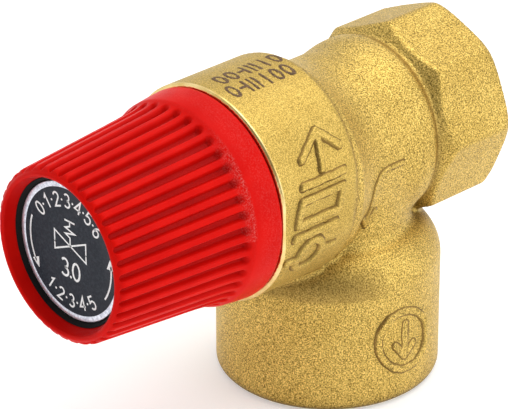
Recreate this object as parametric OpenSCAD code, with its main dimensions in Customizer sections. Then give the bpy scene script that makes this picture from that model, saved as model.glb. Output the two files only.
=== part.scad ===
// Angle-pattern diaphragm safety valve with a 1/2 inch female inlet and a 3/4 inch female outlet.
// The valve stands on its outlet face: +Z is up, the inlet faces +Y and the turning cap faces -Y.
// The origin is the centre of the outlet's mouth.
// Pieces on the spindle axis are drawn along their own +Z, which on_spindle_axis() lays along -Y.
// Their heights (names that end in _s) are measured from the outlet axis towards the cap.

/* [Body] */
// Height of the spindle axis above the outlet face
axis_h = 34.8; // [34.6:0.1:35.4]
// Outer radius of the housing that the bonnet screws into
housing_r = 15.6; // [15.5:0.1:16]
// Rear shoulder of the housing
housing_rear_s = 9.9; // [9.7:0.1:10.3]
// Front face of the housing
housing_front_s = 23.5; // [23.3:0.1:23.5]
// Smallest outer radius of the neck above the outlet
neck_r = 12.5; // [12.4:0.05:12.7]
// Radius of the chamber round the seat
chamber_r = 10.6; // [10.5:0.1:10.8]
// Core radius of the thread that takes the bonnet
bonnet_thread_r = 13.6; // [13.5:0.05:13.7]

/* [Inlet] */
// Distance from the outlet axis to the inlet face
inlet_reach = 22; // [21.5:0.1:23]
// Width across the inlet's eight flats
inlet_flats = 27; // [26.8:0.1:28]
// Core radius of the inlet thread
inlet_thread_r = 9.3155; // [9.3:0.0005:9.33]
// Depth of the inlet thread
inlet_thread_depth = 13.5; // [12:0.5:13.5]

/* [Outlet] */
// Outer radius of the outlet boss
boss_r = 16; // [15.8:0.1:16.5]
// Height at which the outlet boss starts to round over
boss_shoulder_h = 17.5; // [17.2:0.1:17.8]
// Core radius of the outlet thread
outlet_thread_r = 12.0585; // [12.05:0.0005:12.07]
// Depth of the outlet thread
outlet_thread_depth = 14.5; // [13:0.5:15]

/* [Seat] */
// Bore radius of the seat
seat_bore_r = 6; // [5.5:0.1:6]
// Height of the seat's lip
seat_s = 1; // [1:0.1:1.2]
// Thickness of the rubber seal disc
seal_t = 3; // [2.8:0.1:3]

/* [Diaphragm] */
// Height of the ledge that the diaphragm's rim lies on
ledge_s = 9.5; // [9.4:0.05:9.6]
// Thickness of the diaphragm
diaphragm_t = 1.2; // [1:0.1:1.2]

/* [Spring] */
// Wire diameter of the spring
wire_d = 1.8; // [1.5:0.1:1.8]
// Mean radius of the spring
spring_r = 6.8; // [6.7:0.05:6.8]
// Open turns of the spring
open_turns = 5; // [4:1:5]

/* [Cap] */
// Rear rim of the cap
cap_rear_s = 23.7; // [23.65:0.05:23.8]
// Front rim of the cap
cap_front_s = 50; // [49.8:0.1:50.2]
// Outer radius of the cap's rear rim
collar_r = 15.15; // [15.1:0.05:15.4]
// Number of grip ribs
rib_count = 40; // [36:1:40]
// Width of a rib at its root
rib_w = 1.15; // [0.9:0.05:1.2]
// Height of a rib
rib_h = 0.75; // [0.6:0.05:0.8]

/* [Lifting] */
// Travel of the spindle when the cap is turned
lift = 2.5; // [2:0.1:2.5]
// Turn of the cap that gives the full travel, in degrees
lift_turn = 75; // [70:1:80]
// Number of lifting cams
cam_count = 4; // [3:1:4]

/* [Hidden] */
$fn = 96;

// Clearances: running for the spindle, close for fixed pieces, and between the cams
run_gap = 0.06;
close_gap = 0.02;
cam_gap = 0.15;
// Overshoot of a cutting shape past the face that it cuts
over = 1;

// Body
mouth_chamfer = 0.45;
rim_chamfer = 0.35;
shoulder_run = 8.2;
shoulder_power = 2.1;
shoulder_step = 0.3;
shoulder_steps = 8;
ridge_r = 13.15;
groove_r = 12.9;
groove_s = -9.3;
boss_round = 6;
boss_round_steps = 8;
boss_foot_chamfer = 1;
throat_r = 11.5;
nozzle_r = 7.4;
moat_s = -3;
cone_bottom_s = -5.2;
passage_r = 7;
passage_s = 2.5;
passage_top_clear = 0.4;

// Inlet end
flat_r = inlet_flats / 2;
corner_r = flat_r / cos(22.5);
front_bevel_s = -11.9;
rear_bevel = 0.8;
rear_bevel_r = 13.8;

// Stem
spindle_r = 2.5;
spindle_end_s = 46;
seal_top_s = seat_s + seal_t;
seal_r = 8.2;
seal_screw_r = 1.5;
seal_screw_depth = 6.5;
seal_washer_r = 4.2;
seal_washer_t = 0.8;
seal_head_r = 2.8;
seal_head_t = 1.8;
holder_r = 9.4;
holder_skirt_s = 2.4;
holder_floor_t = 1.8;
hub_r = 4.5;
membrane_s = ledge_s - lift;
fold_in_r = 8.1;
fold_out_r = 10.4;
fold_steps = 8;
membrane_plate_s = membrane_s + diaphragm_t;
membrane_plate_r = 7.4;
membrane_plate_t = 1;
spring_plate_s = membrane_plate_s + membrane_plate_t;
spring_plate_r = 7.9;
spring_plate_t = 1.6;
spring_boss_r = 5.4;
spring_boss_h = 1.6;
lock_nut_s = spring_plate_s + spring_plate_t + spring_boss_h;
lock_nut_flats = 8.5;
lock_nut_t = 3;

// Spring
spring_low_s = spring_plate_s + spring_plate_t;
spring_high_s = 30.5;
closed_pitch = wire_d * 1.02;
coil_steps = 24;
wire_sides = 8;

// Bonnet
slip_ring_t = 0.5;
slip_ring_in_r = 8.8;
bonnet_low_s = ledge_s + diaphragm_t + slip_ring_t;
bonnet_bore_r = 8.4;
bonnet_tube_r = 10.2;
bonnet_hex_flats = 21;
bonnet_hex_top_s = 28;
crown_s = 37;
thrust_washer_t = 1;
thrust_washer_hole_r = 2.9;
adjuster_s = spring_high_s + thrust_washer_t;
adjuster_t = 4.5;
adjuster_floor_t = 1.7;
adjuster_socket_flats = 8;

// Cams
cam_in_r = 8.75;
cam_out_r = 10;
cam_step = 9;
cam_sector = 360 / cam_count;
cam_slope = lift / lift_turn;
cam_play = 1;
cam_root = 0.4;

// Cap
web_s = 41;
web_t = 1.45;
pocket_r = 9.6;
recess_s = 46.5;
recess_r = 10.5;
lip_in_r = 10.95;
lip_out_r = 11.65;
lip_shoulder_s = 49.3;
lip_shoulder_r = 12.35;
root_front_r = 11.62;
root_rear_s = 31;
root_rear_r = 13.15;
collar_front_s = 28.1;
collar_front_r = 14.75;
rib_front_s = 49.2;
rib_rear_s = 30.2;
rib_phase = 2;
rib_top_share = 0.55;
rib_sunk = 0.5;
cap_washer_s = web_s + web_t + 0.05;
cap_washer_r = 4.6;
cap_washer_t = 0.8;
cap_nut_s = cap_washer_s + cap_washer_t;
cap_nut_flats = 8;
cap_nut_t = 2.6;
plug_t = 0.9;
plug_rim_in_r = 9.9;
plug_rim_top_s = 48.3;
plug_skirt_in_r = 8.7;
plug_skirt_s = 44.5;
label_t = 0.35;

module on_spindle_axis() {
    translate([0, 0, axis_h]) rotate([90, 0, 0]) children();
}

// Plain ring or disc between two heights
module ring(out_r, in_r, low, high) {
    difference() {
        translate([0, 0, low]) cylinder(r = out_r, h = high - low);
        if (in_r > 0) translate([0, 0, low - over]) cylinder(r = in_r, h = high - low + 2 * over);
    }
}

// Hexagonal prism, sized across its flats
module hex_prism(flats, low, high) {
    translate([0, 0, low]) cylinder(r = flats / 2 / cos(30), h = high - low, $fn = 6);
}

// Rounded-off fall from the housing to the neck, and the low ridge before the inlet end
function shoulder_point(u) = [
    neck_r + (housing_r - shoulder_step - neck_r) * pow(1 - u, shoulder_power),
    housing_rear_s - 0.4 - shoulder_run * u
];

module housing_and_neck() {
    rotate_extrude()
        polygon(concat(
            [[0, groove_s - 1], [groove_r, groove_s - 1], [groove_r, groove_s]],
            [[ridge_r, -7.9], [ridge_r, -6], [neck_r + 0.2, -3.2], [neck_r, -1.5]],
            [for (i = [shoulder_steps : -1 : 0]) shoulder_point(i / shoulder_steps)],
            [[housing_r, housing_rear_s + 0.3], [housing_r, housing_front_s - rim_chamfer]],
            [[housing_r - rim_chamfer, housing_front_s], [0, housing_front_s]]
        ));
}

// Eight-sided inlet end with bevelled corners
module inlet_end() {
    intersection() {
        translate([0, 0, -inlet_reach]) cylinder(r = corner_r, h = inlet_reach + groove_s, $fn = 8);
        rotate_extrude()
            polygon([
                [0, -inlet_reach], [rear_bevel_r, -inlet_reach],
                [corner_r, -inlet_reach + rear_bevel], [corner_r, front_bevel_s],
                [groove_r, groove_s], [0, groove_s]
            ]);
    }
}

module outlet_boss() {
    rotate_extrude()
        polygon(concat(
            [[0, 0], [boss_r - boss_foot_chamfer, 0], [boss_r, boss_foot_chamfer]],
            [for (i = [0 : boss_round_steps]) let (a = 90 * i / boss_round_steps)
                [boss_r - boss_round * (1 - cos(a)), boss_shoulder_h + boss_round * sin(a)]],
            [[0, boss_shoulder_h + boss_round]]
        ));
    cylinder(r = throat_r, h = axis_h);
}

// Bonnet thread and the chamber, which leaves the seat's nozzle standing
module chamber_space() {
    rotate_extrude()
        polygon([
            [0, seat_s], [nozzle_r - 0.6, seat_s], [nozzle_r, seat_s - 0.6], [nozzle_r, moat_s],
            [chamber_r, moat_s], [chamber_r, ledge_s + 0.01], [0, ledge_s + 0.01]
        ]);
    translate([0, 0, ledge_s])
        cylinder(r = bonnet_thread_r, h = housing_front_s - ledge_s + over);
}

module inlet_way() {
    thread_end_s = -inlet_reach + inlet_thread_depth;
    translate([0, 0, -inlet_reach - over])
        cylinder(r = inlet_thread_r, h = inlet_thread_depth + over);
    translate([0, 0, -inlet_reach - over])
        cylinder(r1 = inlet_thread_r + mouth_chamfer + over, r2 = inlet_thread_r,
                 h = mouth_chamfer + over);
    translate([0, 0, thread_end_s - 0.01])
        cylinder(r1 = inlet_thread_r, r2 = seat_bore_r, h = cone_bottom_s - thread_end_s + 0.01);
    translate([0, 0, cone_bottom_s - 0.01])
        cylinder(r = seat_bore_r, h = seat_s - cone_bottom_s + over);
}

module outlet_way() {
    translate([0, 0, -over]) cylinder(r = outlet_thread_r, h = outlet_thread_depth + over);
    translate([0, 0, -over])
        cylinder(r1 = outlet_thread_r + mouth_chamfer + over, r2 = outlet_thread_r,
                 h = mouth_chamfer + over);
    translate([0, -passage_s, outlet_thread_depth - over])
        cylinder(r = passage_r,
                 h = axis_h - nozzle_r - passage_top_clear - outlet_thread_depth + over);
}

// Brass forging: octagonal inlet, seat, chamber, bonnet housing and outlet boss in one piece
module body() {
    color("goldenrod")
        difference() {
            union() {
                on_spindle_axis() housing_and_neck();
                on_spindle_axis() inlet_end();
                outlet_boss();
            }
            on_spindle_axis() chamber_space();
            on_spindle_axis() inlet_way();
            outlet_way();
        }
}

// Space under a helical ramp that rises cam_slope mm for each degree, from angle a0 to a1
module ramp_wedge(in_r, out_r, a0, a1, low, ramp_low) {
    steps = ceil((a1 - a0) / cam_step);
    angles = [for (i = [0 : steps]) a0 + (a1 - a0) * i / steps];
    points = [
        for (a = angles)
            each [
                [in_r * cos(a), in_r * sin(a), low],
                [out_r * cos(a), out_r * sin(a), low],
                [out_r * cos(a), out_r * sin(a), ramp_low + cam_slope * (a - a0)],
                [in_r * cos(a), in_r * sin(a), ramp_low + cam_slope * (a - a0)]
            ]
    ];
    sides = [
        for (i = [0 : steps - 1], k = [0 : 3])
            let (p = 4 * i + k, q = 4 * i + (k + 1) % 4)
                each [[p, q, q + 4], [p, q + 4, p + 4]]
    ];
    ends = [[3, 2, 1, 0], [4 * steps, 4 * steps + 1, 4 * steps + 2, 4 * steps + 3]];
    polyhedron(points = points, faces = concat(sides, ends));
}

// Brass spring housing: screws down on the diaphragm's rim, and its crown carries the fixed cams
module bonnet() {
    color("darkgoldenrod")
        on_spindle_axis() {
            difference() {
                union() {
                    ring(bonnet_thread_r - close_gap, 0, bonnet_low_s, housing_front_s);
                    hex_prism(bonnet_hex_flats, housing_front_s, bonnet_hex_top_s);
                    ring(bonnet_tube_r, 0, bonnet_hex_top_s - over, crown_s);
                }
                translate([0, 0, bonnet_low_s - over])
                    cylinder(r = bonnet_bore_r, h = crown_s - bonnet_low_s + 2 * over);
            }
            intersection() {
                ring(cam_out_r, cam_in_r, crown_s - cam_root, crown_s + 2 * lift);
                for (i = [0 : cam_count - 1])
                    rotate([0, 0, i * cam_sector])
                        ramp_wedge(cam_in_r - 1, cam_out_r + 1, 0, cam_sector,
                                   crown_s - cam_root - over, crown_s);
            }
        }
}

// Thin ring that lets the bonnet turn without dragging the diaphragm
module slip_ring() {
    color("silver")
        on_spindle_axis()
            ring(bonnet_thread_r - 0.1, slip_ring_in_r, ledge_s + diaphragm_t, bonnet_low_s);
}

// Rubber diaphragm, dished towards the seat while the valve is shut
function fold_point(i) = let (u = i / fold_steps)
    [fold_in_r + (fold_out_r - fold_in_r) * u, membrane_s + lift * (1 - cos(180 * u)) / 2];

module diaphragm() {
    lower = [for (i = [0 : fold_steps]) fold_point(i)];
    upper = [for (i = [fold_steps : -1 : 0]) fold_point(i) + [0, diaphragm_t]];
    color("black")
        on_spindle_axis()
            rotate_extrude()
                polygon(concat(
                    [[spindle_r + close_gap, membrane_s]], lower,
                    [[bonnet_thread_r - 0.05, ledge_s]],
                    [[bonnet_thread_r - 0.05, ledge_s + diaphragm_t]], upper,
                    [[spindle_r + close_gap, membrane_s + diaphragm_t]]
                ));
}

// Hollow screw that sets the opening pressure, with a hexagon socket
module adjusting_screw() {
    color("goldenrod")
        on_spindle_axis()
            difference() {
                ring(bonnet_bore_r - close_gap * 2, spindle_r + run_gap,
                     adjuster_s, adjuster_s + adjuster_t);
                hex_prism(adjuster_socket_flats, adjuster_s + adjuster_floor_t,
                          adjuster_s + adjuster_t + over);
            }
}

module thrust_washer() {
    color("silver")
        on_spindle_axis()
            ring(spring_plate_r, thrust_washer_hole_r, spring_high_s, adjuster_s);
}

// Height of the spring wire's centre after a number of turns: closed, open, closed
function coil_s(turn) =
    let (total = open_turns + 2,
         low = spring_low_s + wire_d / 2 + close_gap,
         high = spring_high_s - wire_d / 2 - close_gap,
         open_pitch = (high - low - 2 * closed_pitch) / open_turns)
    turn < 1 ? low + closed_pitch * turn :
    turn > total - 1 ? high - closed_pitch * (total - turn) :
    low + closed_pitch + open_pitch * (turn - 1);

module spring() {
    rings = (open_turns + 2) * coil_steps;
    points = [
        for (i = [0 : rings], k = [0 : wire_sides - 1])
            let (a = 360 * i / coil_steps,
                 b = 360 * k / wire_sides,
                 r = spring_r + wire_d / 2 * cos(b))
                [r * cos(a), r * sin(a), coil_s(i / coil_steps) + wire_d / 2 * sin(b)]
    ];
    sides = [
        for (i = [0 : rings - 1], k = [0 : wire_sides - 1])
            let (p = wire_sides * i + k, q = wire_sides * i + (k + 1) % wire_sides)
                each [[p, q + wire_sides, q], [p, p + wire_sides, q + wire_sides]]
    ];
    ends = [
        [for (k = [0 : wire_sides - 1]) k],
        [for (k = [wire_sides - 1 : -1 : 0]) wire_sides * rings + k]
    ];
    color("dimgray") on_spindle_axis() polyhedron(points = points, faces = concat(sides, ends));
}

// Brass rod that ties the seal, the diaphragm and the cap together
module spindle() {
    tip = 0.5;
    color("goldenrod")
        on_spindle_axis()
            difference() {
                union() {
                    ring(spindle_r, 0, seal_top_s, spindle_end_s - tip);
                    translate([0, 0, spindle_end_s - tip])
                        cylinder(r1 = spindle_r, r2 = spindle_r - tip, h = tip);
                }
                translate([0, 0, seal_top_s - over])
                    cylinder(r = seal_screw_r + close_gap, h = seal_screw_depth + over);
            }
}

module disc_holder() {
    floor_top_s = seal_top_s + holder_floor_t;
    color("goldenrod")
        on_spindle_axis() {
            ring(holder_r, seal_r + 0.05, holder_skirt_s, seal_top_s);
            ring(holder_r, spindle_r + close_gap, seal_top_s, floor_top_s);
            ring(hub_r, spindle_r + close_gap, floor_top_s, membrane_s);
        }
}

module seal_disc() {
    color("black")
        on_spindle_axis() ring(seal_r, seal_screw_r + 0.1, seat_s, seal_top_s);
}

module seal_washer() {
    color("silver")
        on_spindle_axis()
            ring(seal_washer_r, seal_screw_r + 0.1, seat_s - seal_washer_t, seat_s);
}

// Cheese-head screw that holds the seal disc in its holder
module seal_screw() {
    head_top_s = seat_s - seal_washer_t;
    slot_w = 0.8;
    slot_depth = 0.7;
    color("silver")
        on_spindle_axis()
            difference() {
                union() {
                    ring(seal_head_r, 0, head_top_s - seal_head_t, head_top_s);
                    ring(seal_screw_r, 0, head_top_s - 0.01, seal_top_s + seal_screw_depth - 0.5);
                }
                translate([-seal_head_r - over, -slot_w / 2, head_top_s - seal_head_t - over])
                    cube([2 * (seal_head_r + over), slot_w, slot_depth + over]);
            }
}

module diaphragm_plate() {
    color("silver")
        on_spindle_axis()
            ring(membrane_plate_r, spindle_r + close_gap, membrane_plate_s, spring_plate_s);
}

// Lower spring seat, with a boss that centres the spring
module spring_plate() {
    base_top_s = spring_plate_s + spring_plate_t;
    color("goldenrod")
        on_spindle_axis() {
            ring(spring_plate_r, spindle_r + close_gap, spring_plate_s, base_top_s);
            ring(spring_boss_r, spindle_r + close_gap, base_top_s, lock_nut_s);
        }
}

// Hexagon nut with a plain bore
module hex_nut(flats, bore_r, low, high) {
    difference() {
        hex_prism(flats, low, high);
        translate([0, 0, low - over]) cylinder(r = bore_r, h = high - low + 2 * over);
    }
}

module diaphragm_nut() {
    color("goldenrod")
        on_spindle_axis()
            hex_nut(lock_nut_flats, spindle_r + close_gap, lock_nut_s, lock_nut_s + lock_nut_t);
}

module cap_washer() {
    color("silver")
        on_spindle_axis()
            ring(cap_washer_r, spindle_r + close_gap, cap_washer_s, cap_nut_s);
}

module cap_nut() {
    color("goldenrod")
        on_spindle_axis()
            hex_nut(cap_nut_flats, spindle_r + close_gap, cap_nut_s, cap_nut_s + cap_nut_t);
}

// Grip ribs: straight bars that lean with the cap's taper
module grip_ribs() {
    run = rib_front_s - rib_rear_s;
    root_rise = root_rear_r - root_front_r;
    lean = atan(root_rise / (rib_front_s - root_rear_s));
    mid_s = (rib_front_s + rib_rear_s) / 2;
    mid_r = root_front_r + root_rise * (rib_front_s - mid_s) / (rib_front_s - root_rear_s);
    section = [
        [-rib_sunk, -rib_w / 2], [0, -rib_w / 2], [rib_h * 0.7, -rib_w * 0.42],
        [rib_h, -rib_w * rib_top_share / 2], [rib_h, rib_w * rib_top_share / 2],
        [rib_h * 0.7, rib_w * 0.42], [0, rib_w / 2], [-rib_sunk, rib_w / 2]
    ];
    for (i = [0 : rib_count - 1])
        rotate([0, 0, rib_phase + 360 * i / rib_count])
            translate([mid_r, 0, mid_s])
                rotate([0, -lean, 0])
                    linear_extrude(height = run, center = true)
                        polygon(section);
}

// Outer and inner outline of the cap, without ribs, web and cams
module cap_shell() {
    rotate_extrude()
        polygon([
            [collar_r - 0.2, cap_rear_s], [collar_r, cap_rear_s + 0.2],
            [collar_front_r, collar_front_s], [collar_front_r - 0.2, collar_front_s + 0.5],
            [root_rear_r + 0.5, root_rear_s - 1], [root_rear_r, root_rear_s],
            [root_front_r, rib_front_s], [lip_shoulder_r, lip_shoulder_s],
            [lip_out_r + 0.4, cap_front_s - 0.25], [lip_out_r, cap_front_s],
            [lip_in_r, cap_front_s],
            [recess_r, plug_rim_top_s], [recess_r, recess_s], [pocket_r, recess_s],
            [pocket_r, web_s + 0.01], [10.8, web_s], [11.6, root_rear_s],
            [12.9, collar_front_s + 0.2], [13.6, cap_rear_s]
        ]);
}

// Red turning cap: ribbed shell, inner web on the spindle, and cams that ride on the bonnet's
module lift_cap() {
    color("red")
        on_spindle_axis() {
            cap_shell();
            grip_ribs();
            ring(10.9, spindle_r + run_gap, web_s, web_s + web_t);
            difference() {
                ring(cam_out_r, cam_in_r, crown_s + cam_gap, web_s + 0.01);
                for (i = [0 : cam_count - 1])
                    rotate([0, 0, i * cam_sector])
                        ramp_wedge(cam_in_r - 1, cam_out_r + 1, cam_play, cam_sector + cam_play,
                                   crown_s - over, crown_s + cam_gap + cam_slope * cam_play);
            }
        }
}

// Black plug that closes the cap's front
module cover_plug() {
    base_top_s = recess_s + plug_t;
    color("black")
        on_spindle_axis() {
            ring(recess_r - close_gap, 0, recess_s, base_top_s);
            difference() {
                ring(recess_r - close_gap, plug_rim_in_r, base_top_s - 0.01, plug_rim_top_s);
                translate([0, 0, base_top_s + label_t])
                    cylinder(r1 = plug_rim_in_r, r2 = recess_r - close_gap - 0.1,
                             h = plug_rim_top_s - base_top_s - label_t + 0.01);
            }
            ring(pocket_r - close_gap, plug_skirt_in_r, plug_skirt_s, recess_s + 0.01);
        }
}

// Printed aluminium disc with a bare rim
module label_plate() {
    base_top_s = recess_s + plug_t;
    color("darkslategray")
        on_spindle_axis() ring(plug_rim_in_r - 0.05, 0, base_top_s, base_top_s + label_t);
}

body();
bonnet();
slip_ring();
diaphragm();
adjusting_screw();
thrust_washer();
spring();
spindle();
disc_holder();
seal_disc();
seal_washer();
seal_screw();
diaphragm_plate();
spring_plate();
diaphragm_nut();
cap_washer();
cap_nut();
lift_cap();
cover_plug();
label_plate();
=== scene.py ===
"""Looks of the angle-pattern pressure relief valve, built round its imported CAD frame.

Shapes are worked out in millimetres and written in metres. Round pieces on the spindle axis use
(r, angle, s): r from the axis, angle from +X towards +Z, and s from the outlet axis towards the
cap.
"""
import math

import bpy
import numpy as np
from mathutils import Matrix, Vector


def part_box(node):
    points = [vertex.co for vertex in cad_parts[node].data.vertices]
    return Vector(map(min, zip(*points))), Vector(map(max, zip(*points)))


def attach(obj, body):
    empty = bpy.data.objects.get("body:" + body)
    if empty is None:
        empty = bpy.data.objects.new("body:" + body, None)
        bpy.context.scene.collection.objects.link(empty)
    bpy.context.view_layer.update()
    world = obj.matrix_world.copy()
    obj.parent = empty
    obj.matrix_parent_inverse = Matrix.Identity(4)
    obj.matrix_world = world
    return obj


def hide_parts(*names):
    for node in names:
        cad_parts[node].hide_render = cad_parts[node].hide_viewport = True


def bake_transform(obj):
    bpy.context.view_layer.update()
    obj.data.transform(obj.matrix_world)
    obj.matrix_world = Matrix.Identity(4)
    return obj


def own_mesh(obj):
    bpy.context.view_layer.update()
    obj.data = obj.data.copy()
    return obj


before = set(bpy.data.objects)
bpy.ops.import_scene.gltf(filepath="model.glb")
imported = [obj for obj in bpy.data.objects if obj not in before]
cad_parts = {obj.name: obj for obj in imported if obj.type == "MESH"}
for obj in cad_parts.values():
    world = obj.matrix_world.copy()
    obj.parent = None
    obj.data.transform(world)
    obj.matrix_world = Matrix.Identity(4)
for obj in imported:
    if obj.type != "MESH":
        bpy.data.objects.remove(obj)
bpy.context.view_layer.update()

MM = 0.001


# ---------------------------------------------------------------- places from the frame, in mm

def box_mm(node):
    low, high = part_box(node)
    return np.array(low) / MM, np.array(high) / MM


def s_range(node):
    """A node's lowest and highest s."""
    low, high = box_mm(node)
    return -high[1], -low[1]


BODY_LOW, BODY_HIGH = box_mm("body")
AXIS_H = float(sum(box_mm("spindle")[i][2] for i in (0, 1)) / 2)
INLET_REACH = float(BODY_HIGH[1])
BOSS_R = float(BODY_HIGH[0])
HOUSING_R = float(BODY_HIGH[2]) - AXIS_H
HOUSING_FRONT = -float(BODY_LOW[1])
CAP_REAR, CAP_FRONT = s_range("lift_cap")
LABEL_LOW, LABEL_TOP = s_range("label_plate")
LABEL_R = float(box_mm("label_plate")[1][0])
PLUG_LOW, PLUG_TOP = s_range("cover_plug")
PLUG_R = float(box_mm("cover_plug")[1][0])


# ---------------------------------------------------------------- meshes

def new_object(name, verts_mm, faces, materials, face_slots=None, smooth=True, sharp_angle=None):
    """A mesh object from points in mm, with its materials. Edges past sharp_angle stay sharp."""
    mesh = bpy.data.meshes.new(name)
    points = np.asarray(verts_mm, float) * MM
    faces = np.asarray(faces, np.int32) if not isinstance(faces, list) else faces
    if isinstance(faces, np.ndarray):
        sides = faces.shape[1]
        mesh.vertices.add(len(points))
        mesh.vertices.foreach_set("co", points.ravel().astype(np.float32))
        mesh.loops.add(faces.size)
        mesh.loops.foreach_set("vertex_index", faces.ravel())
        mesh.polygons.add(len(faces))
        mesh.polygons.foreach_set("loop_start", np.arange(0, faces.size, sides, dtype=np.int32))
    else:
        mesh.from_pydata(points.tolist(), [], faces)
    mesh.update(calc_edges=True)
    mesh.validate()
    for material in materials:
        mesh.materials.append(material)
    if face_slots is not None:
        mesh.polygons.foreach_set("material_index", np.asarray(face_slots, np.int32))
    mesh.polygons.foreach_set("use_smooth", np.full(len(mesh.polygons), smooth))
    if sharp_angle is not None:
        mesh.set_sharp_from_angle(angle=math.radians(sharp_angle))
    obj = bpy.data.objects.new(name, mesh)
    bpy.context.scene.collection.objects.link(obj)
    return obj


def spindle_point(r, angle, s):
    """Point(s) round the spindle axis."""
    return np.stack(np.broadcast_arrays(r * np.cos(angle), -np.asarray(s, float),
                                        AXIS_H + r * np.sin(angle)), -1)


def grid_faces(rows, columns, close_rows, close_columns):
    """Quads of a rows x columns grid of points. A closed direction joins its last line to the
    first."""
    i = np.arange(rows if close_rows else rows - 1)
    j = np.arange(columns if close_columns else columns - 1)
    i, j = np.meshgrid(i, j, indexing="ij")
    i2, j2 = (i + 1) % rows, (j + 1) % columns
    return np.stack([i * columns + j, i * columns + j2, i2 * columns + j2, i2 * columns + j],
                    -1).reshape(-1, 4)


def smoothstep(low, high, x):
    t = np.clip((x - low) / (high - low), 0, 1)
    return t * t * (3 - 2 * t)


def arc(centre, radius, start, end, steps=6):
    """Points (r, s) on an arc, with its angles in degrees."""
    angles = np.radians(np.linspace(start, end, steps))
    return [(centre[0] + radius * math.cos(a), centre[1] + radius * math.sin(a)) for a in angles]


def lathe(name, outline, materials, steps=192, slots=None):
    """A closed outline of (r, s) points turned round the spindle axis."""
    outline = np.asarray(outline, float)
    angles = np.linspace(0, 2 * np.pi, steps, endpoint=False)
    points = spindle_point(outline[None, :, 0], angles[:, None], outline[None, :, 1])
    faces = grid_faces(steps, len(outline), True, True)
    face_slots = None if slots is None else np.tile(slots, steps)
    return new_object(name, points.reshape(-1, 3), faces, materials, face_slots, sharp_angle=35)


# ---------------------------------------------------------------- distance fields

def round_both(a, b, radius):
    """Inside both a and b, with the edge rounded to a radius."""
    u, v = np.maximum(radius + a, 0), np.maximum(radius + b, 0)
    return np.minimum(-radius, np.maximum(a, b)) + np.sqrt(u * u + v * v)


def round_either(a, b, radius):
    """Inside a or b, with the crease filled to a radius."""
    return -round_both(-a, -b, radius)


def surface_net(field, low, high, pitch, passes=3):
    """Quads on a field's zero surface: one point in each grid cell that the surface crosses,
    then moved onto the surface along the field's slope."""
    counts = [int(math.ceil((h - l) / pitch)) + 1 for l, h in zip(low, high)]
    axes = [l + pitch * np.arange(n) for l, n in zip(low, counts)]
    x, y, z = (a.astype(np.float32) for a in axes)
    values = np.empty(counts, np.float32)
    for i in range(0, counts[0], 8):
        block = np.meshgrid(x[i:i + 8], y, z, indexing="ij")
        values[i:i + 8] = field(*block)
    inside = values < 0
    nx, ny, nz = (n - 1 for n in counts)
    corner = [(i, j, k) for i in (0, 1) for j in (0, 1) for k in (0, 1)]
    total = sum(inside[i:i + nx, j:j + ny, k:k + nz].astype(np.int8) for i, j, k in corner)
    cells = np.argwhere((total > 0) & (total < 8))
    index = np.full((nx, ny, nz), -1, np.int32)
    index[tuple(cells.T)] = np.arange(len(cells))
    at = {c: values[tuple((cells + c).T)] for c in corner}
    summed, crossings = np.zeros((len(cells), 3)), np.zeros(len(cells))
    for a in corner:
        for axis in range(3):
            if a[axis]:
                continue
            b = tuple(v + (1 if n == axis else 0) for n, v in enumerate(a))
            fa, fb = at[a], at[b]
            crossed = (fa < 0) != (fb < 0)
            share = np.where(crossed, fa / np.where(crossed, fa - fb, 1), 0)
            point = np.tile(np.array(a, float), (len(cells), 1))
            point[:, axis] += share
            summed += point * crossed[:, None]
            crossings += crossed
    points = np.array(low) + pitch * (cells + summed / crossings[:, None])
    quads = []
    for axis in range(3):
        one, two = [n for n in range(3) if n != axis]
        step = np.eye(3, dtype=int)
        near = inside[tuple(slice(0, -1) if n == axis else slice(1, -1) for n in range(3))]
        far = inside[tuple(slice(1, None) if n == axis else slice(1, -1) for n in range(3))]
        edges = np.argwhere(near != far)
        if not len(edges):
            continue
        leaves = near[tuple(edges.T)]
        base = edges + (step[one] + step[two])
        around = [base - step[one] - step[two], base - step[two], base, base - step[one]]
        quad = np.stack([index[tuple(c.T)] for c in around], -1)
        turned = leaves if axis != 1 else ~leaves
        quad[~turned] = quad[~turned][:, ::-1]
        quads.append(quad)
    eps = 0.02
    for _ in range(passes):
        value = field(*points.T)
        slope = np.stack([
            (field(*(points + eps * e).T) - field(*(points - eps * e).T)) / (2 * eps)
            for e in np.eye(3)], -1)
        size = np.maximum((slope ** 2).sum(-1), 0.1)
        points -= np.clip(value / size, -pitch / 2, pitch / 2)[:, None] * slope
    return points, np.concatenate(quads)


# ---------------------------------------------------------------- materials

def new_material(name):
    material = bpy.data.materials.new(name)
    material.use_nodes = True
    nodes, links = material.node_tree.nodes, material.node_tree.links
    return material, nodes, links, nodes["Principled BSDF"]


def noise(nodes, links, per_mm, detail=2.0, roughness=0.5, stretch=(1, 1, 1)):
    """A noise texture with a number of cells per mm, fixed to the piece."""
    coords = nodes.new("ShaderNodeTexCoord")
    mapping = nodes.new("ShaderNodeMapping")
    mapping.inputs["Scale"].default_value = [v / MM for v in stretch]
    texture = nodes.new("ShaderNodeTexNoise")
    texture.inputs["Scale"].default_value = per_mm
    texture.inputs["Detail"].default_value = detail
    texture.inputs["Roughness"].default_value = roughness
    links.new(coords.outputs["Object"], mapping.inputs["Vector"])
    links.new(mapping.outputs["Vector"], texture.inputs["Vector"])
    return texture


def ramp(nodes, links, source, stops):
    """A colour ramp over a value. Each stop is (place, grey or colour)."""
    node = nodes.new("ShaderNodeValToRGB")
    while len(node.color_ramp.elements) < len(stops):
        node.color_ramp.elements.new(0.5)
    for element, (place, colour) in zip(node.color_ramp.elements, stops):
        element.position = place
        rgb = (colour,) * 3 if isinstance(colour, (int, float)) else colour
        element.color = (*rgb, 1)
    links.new(source, node.inputs["Fac"])
    return node.outputs["Color"]


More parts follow.
